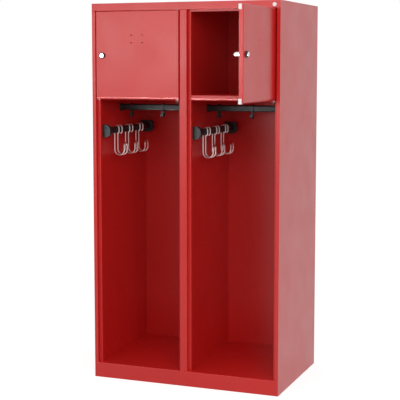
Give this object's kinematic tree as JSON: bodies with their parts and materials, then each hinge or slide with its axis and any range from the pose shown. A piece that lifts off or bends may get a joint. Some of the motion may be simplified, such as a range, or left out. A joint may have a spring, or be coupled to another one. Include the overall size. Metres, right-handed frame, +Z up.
{
  "type": "firefighter locker",
  "caption": "Open-fronted steel clothing locker with twin bays, a lockable compartment with a hinged door above each, hook rails with sliding wire hooks and clothes rails.",
  "frame": {"origin": "on the floor under the middle of the carcass", "axes": "+Z up, +X to the right seen from the front, +Y to the back; the open front faces -Y"},
  "size_m": [0.9, 0.9924, 1.74],
  "materials": {
    "red_paint": "glossy signal-red powder coat with a fine orange peel",
    "black_paint": "satin black powder coat",
    "black_plastic": "fine-grained black moulded plastic",
    "white_nylon": "white nylon",
    "bright_wire": "bright nickel-plated wire",
    "lock_chrome": "polished chrome plate",
    "zinc_steel": "bright zinc-plated steel",
    "dark_steel": "blackened steel"
  },
  "bodies": {
    "carcass": {"left_side_wall": "red_paint", "right_side_wall": "red_paint", "back_wall": "red_paint", "top_panel": "red_paint", "centre_partition": "red_paint", "floor_panels": "red_paint", "left_front_post": "red_paint", "centre_front_post": "red_paint", "right_front_post": "red_paint", "top_front_rail": "red_paint", "top_rail_cover": "white_nylon", "front_plinth": "red_paint", "base_bearers": "red_paint", "left_shelf": "red_paint", "right_shelf": "red_paint", "clothes_rails": "black_paint", "clothes_rail_sockets": "black_plastic", "hook_rails": "black_paint", "hook_rail_brackets": "black_plastic", "bracket_screws": "dark_steel", "pivot_plates": "red_paint", "pivot_bushes": "black_plastic"},
    "left_door": {"left_door_pan": "red_paint", "left_door_stiffener": "red_paint", "left_door_buffers": "white_nylon", "left_door_pivot_blocks": "black_plastic", "left_door_pivot_pins": "zinc_steel", "left_lock_housing": "lock_chrome", "left_lock_rosette": "black_plastic", "left_lock_nut": "dark_steel"},
    "left_lock": {"left_lock_plug": "zinc_steel", "left_lock_cam": "zinc_steel", "left_lock_cam_screw": "zinc_steel"},
    "right_door": {"right_door_pan": "red_paint", "right_door_stiffener": "red_paint", "right_door_buffers": "white_nylon", "right_door_pivot_blocks": "black_plastic", "right_door_pivot_pins": "zinc_steel", "right_lock_housing": "lock_chrome", "right_lock_rosette": "black_plastic", "right_lock_nut": "dark_steel"},
    "right_lock": {"right_lock_plug": "zinc_steel", "right_lock_cam": "zinc_steel", "right_lock_cam_screw": "zinc_steel"},
    "left_front_hook": {"left_front_hook": "bright_wire"},
    "left_middle_hook": {"left_middle_hook": "bright_wire"},
    "left_rear_hook": {"left_rear_hook": "bright_wire"},
    "left_bay_left_small_hook": {"left_bay_left_small_hook": "black_plastic"},
    "left_bay_middle_small_hook": {"left_bay_middle_small_hook": "black_plastic"},
    "left_bay_right_small_hook": {"left_bay_right_small_hook": "black_plastic"},
    "right_front_hook": {"right_front_hook": "bright_wire"},
    "right_middle_hook": {"right_middle_hook": "bright_wire"},
    "right_rear_hook": {"right_rear_hook": "bright_wire"},
    "right_bay_left_small_hook": {"right_bay_left_small_hook": "black_plastic"},
    "right_bay_middle_small_hook": {"right_bay_middle_small_hook": "black_plastic"},
    "right_bay_right_small_hook": {"right_bay_right_small_hook": "black_plastic"}
  },
  "joints": [
    {"name": "left_door_hinge", "type": "hinge", "parent": "carcass", "child": "left_door", "pos_m": [-0.03, -0.292, 1.505], "axis": [0, 0, 1], "range_deg": [0, 110]},
    {"name": "left_lock_turn", "type": "hinge", "parent": "left_door", "child": "left_lock", "pos_m": [-0.397, -0.292, 1.505], "axis": [0, -1, 0], "range_deg": [0, 180]},
    {"name": "right_door_hinge", "type": "hinge", "parent": "carcass", "child": "right_door", "pos_m": [0.42, -0.292, 1.505], "axis": [0, 0, 1], "range_deg": [-88.5, 21.5]},
    {"name": "right_lock_turn", "type": "hinge", "parent": "right_door", "child": "right_lock", "pos_m": [0.41039, -0.65887, 1.505], "axis": [0.9997, -0.0262, 0], "range_deg": [0, 180]},
    {"name": "left_front_hook_slide", "type": "slide", "parent": "carcass", "child": "left_front_hook", "axis": [0, 1, 0], "range_m": [-0.035, 0.035]},
    {"name": "left_middle_hook_slide", "type": "slide", "parent": "carcass", "child": "left_middle_hook", "axis": [0, 1, 0], "range_m": [-0.035, 0.035]},
    {"name": "left_rear_hook_slide", "type": "slide", "parent": "carcass", "child": "left_rear_hook", "axis": [0, 1, 0], "range_m": [-0.035, 0.035]},
    {"name": "left_bay_left_small_hook_slide", "type": "slide", "parent": "carcass", "child": "left_bay_left_small_hook", "axis": [1, 0, 0], "range_m": [-0.04, 0.04]},
    {"name": "left_bay_middle_small_hook_slide", "type": "slide", "parent": "carcass", "child": "left_bay_middle_small_hook", "axis": [1, 0, 0], "range_m": [-0.04, 0.04]},
    {"name": "left_bay_right_small_hook_slide", "type": "slide", "parent": "carcass", "child": "left_bay_right_small_hook", "axis": [1, 0, 0], "range_m": [-0.04, 0.04]},
    {"name": "right_front_hook_slide", "type": "slide", "parent": "carcass", "child": "right_front_hook", "axis": [0, 1, 0], "range_m": [-0.035, 0.035]},
    {"name": "right_middle_hook_slide", "type": "slide", "parent": "carcass", "child": "right_middle_hook", "axis": [0, 1, 0], "range_m": [-0.035, 0.035]},
    {"name": "right_rear_hook_slide", "type": "slide", "parent": "carcass", "child": "right_rear_hook", "axis": [0, 1, 0], "range_m": [-0.035, 0.035]},
    {"name": "right_bay_left_small_hook_slide", "type": "slide", "parent": "carcass", "child": "right_bay_left_small_hook", "axis": [1, 0, 0], "range_m": [-0.04, 0.04]},
    {"name": "right_bay_middle_small_hook_slide", "type": "slide", "parent": "carcass", "child": "right_bay_middle_small_hook", "axis": [1, 0, 0], "range_m": [-0.04, 0.04]},
    {"name": "right_bay_right_small_hook_slide", "type": "slide", "parent": "carcass", "child": "right_bay_right_small_hook", "axis": [1, 0, 0], "range_m": [-0.04, 0.04]}
  ]
}
